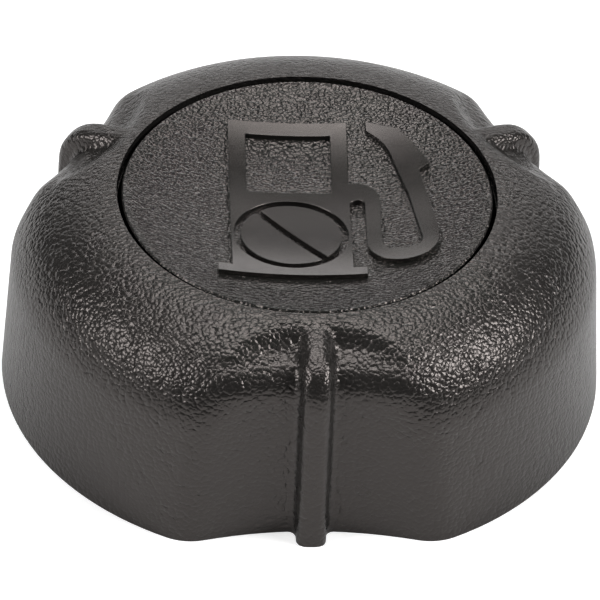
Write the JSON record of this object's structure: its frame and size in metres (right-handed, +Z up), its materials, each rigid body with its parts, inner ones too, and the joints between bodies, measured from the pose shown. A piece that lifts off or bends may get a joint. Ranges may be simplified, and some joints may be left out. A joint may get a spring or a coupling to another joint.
{
  "type": "fuel filler cap",
  "caption": "Three-lobed black screw-on fuel filler cap with ribbed finger flutes, a dished top disc, and a pressure and vacuum vent valve inside.",
  "frame": {"origin": "on the cap's axis, in the plane of the bottom rim, where the neck's thread starts", "axes": "+Z up along the axis towards the disc, -Y through the flute and rib that face the camera, +Y through the middle of a lobe"},
  "size_m": [0.06, 0.0579, 0.0224],
  "materials": {
    "shell_plastic": "fine leather grain, black",
    "disc_plastic": "fine leather grain, black",
    "body_plastic": "satin black",
    "gasket_rubber": "matt black nitrile rubber",
    "filter_foam": "dark open-cell foam",
    "valve_plastic": "natural acetal",
    "seal_rubber": "matt black fluoro rubber",
    "spring_steel": "drawn stainless wire"
  },
  "bodies": {
    "cap": {"cap_shell": "shell_plastic", "top_disc": "disc_plastic", "threaded_body": "body_plastic", "neck_gasket": "gasket_rubber", "vent_filter": "filter_foam", "valve_cover": "valve_plastic", "pressure_spring": "spring_steel"},
    "pressure_valve": {"pressure_plate": "valve_plastic", "pressure_seal": "seal_rubber", "vacuum_spring": "spring_steel"},
    "vacuum_valve": {"vacuum_poppet": "valve_plastic", "vacuum_clip": "spring_steel"}
  },
  "joints": [
    {"name": "pressure_lift", "type": "slide", "parent": "cap", "child": "pressure_valve", "axis": [0, 0, 1], "range_m": [0, 0.001], "stiffness_N_per_m": 150, "springref_m": -0.0028, "deforming": ["pressure_spring"]},
    {"name": "vacuum_drop", "type": "slide", "parent": "pressure_valve", "child": "vacuum_valve", "axis": [0, 0, -1], "range_m": [0, 0.0008], "stiffness_N_per_m": 60, "springref_m": -0.002, "deforming": ["vacuum_spring"]}
  ]
}
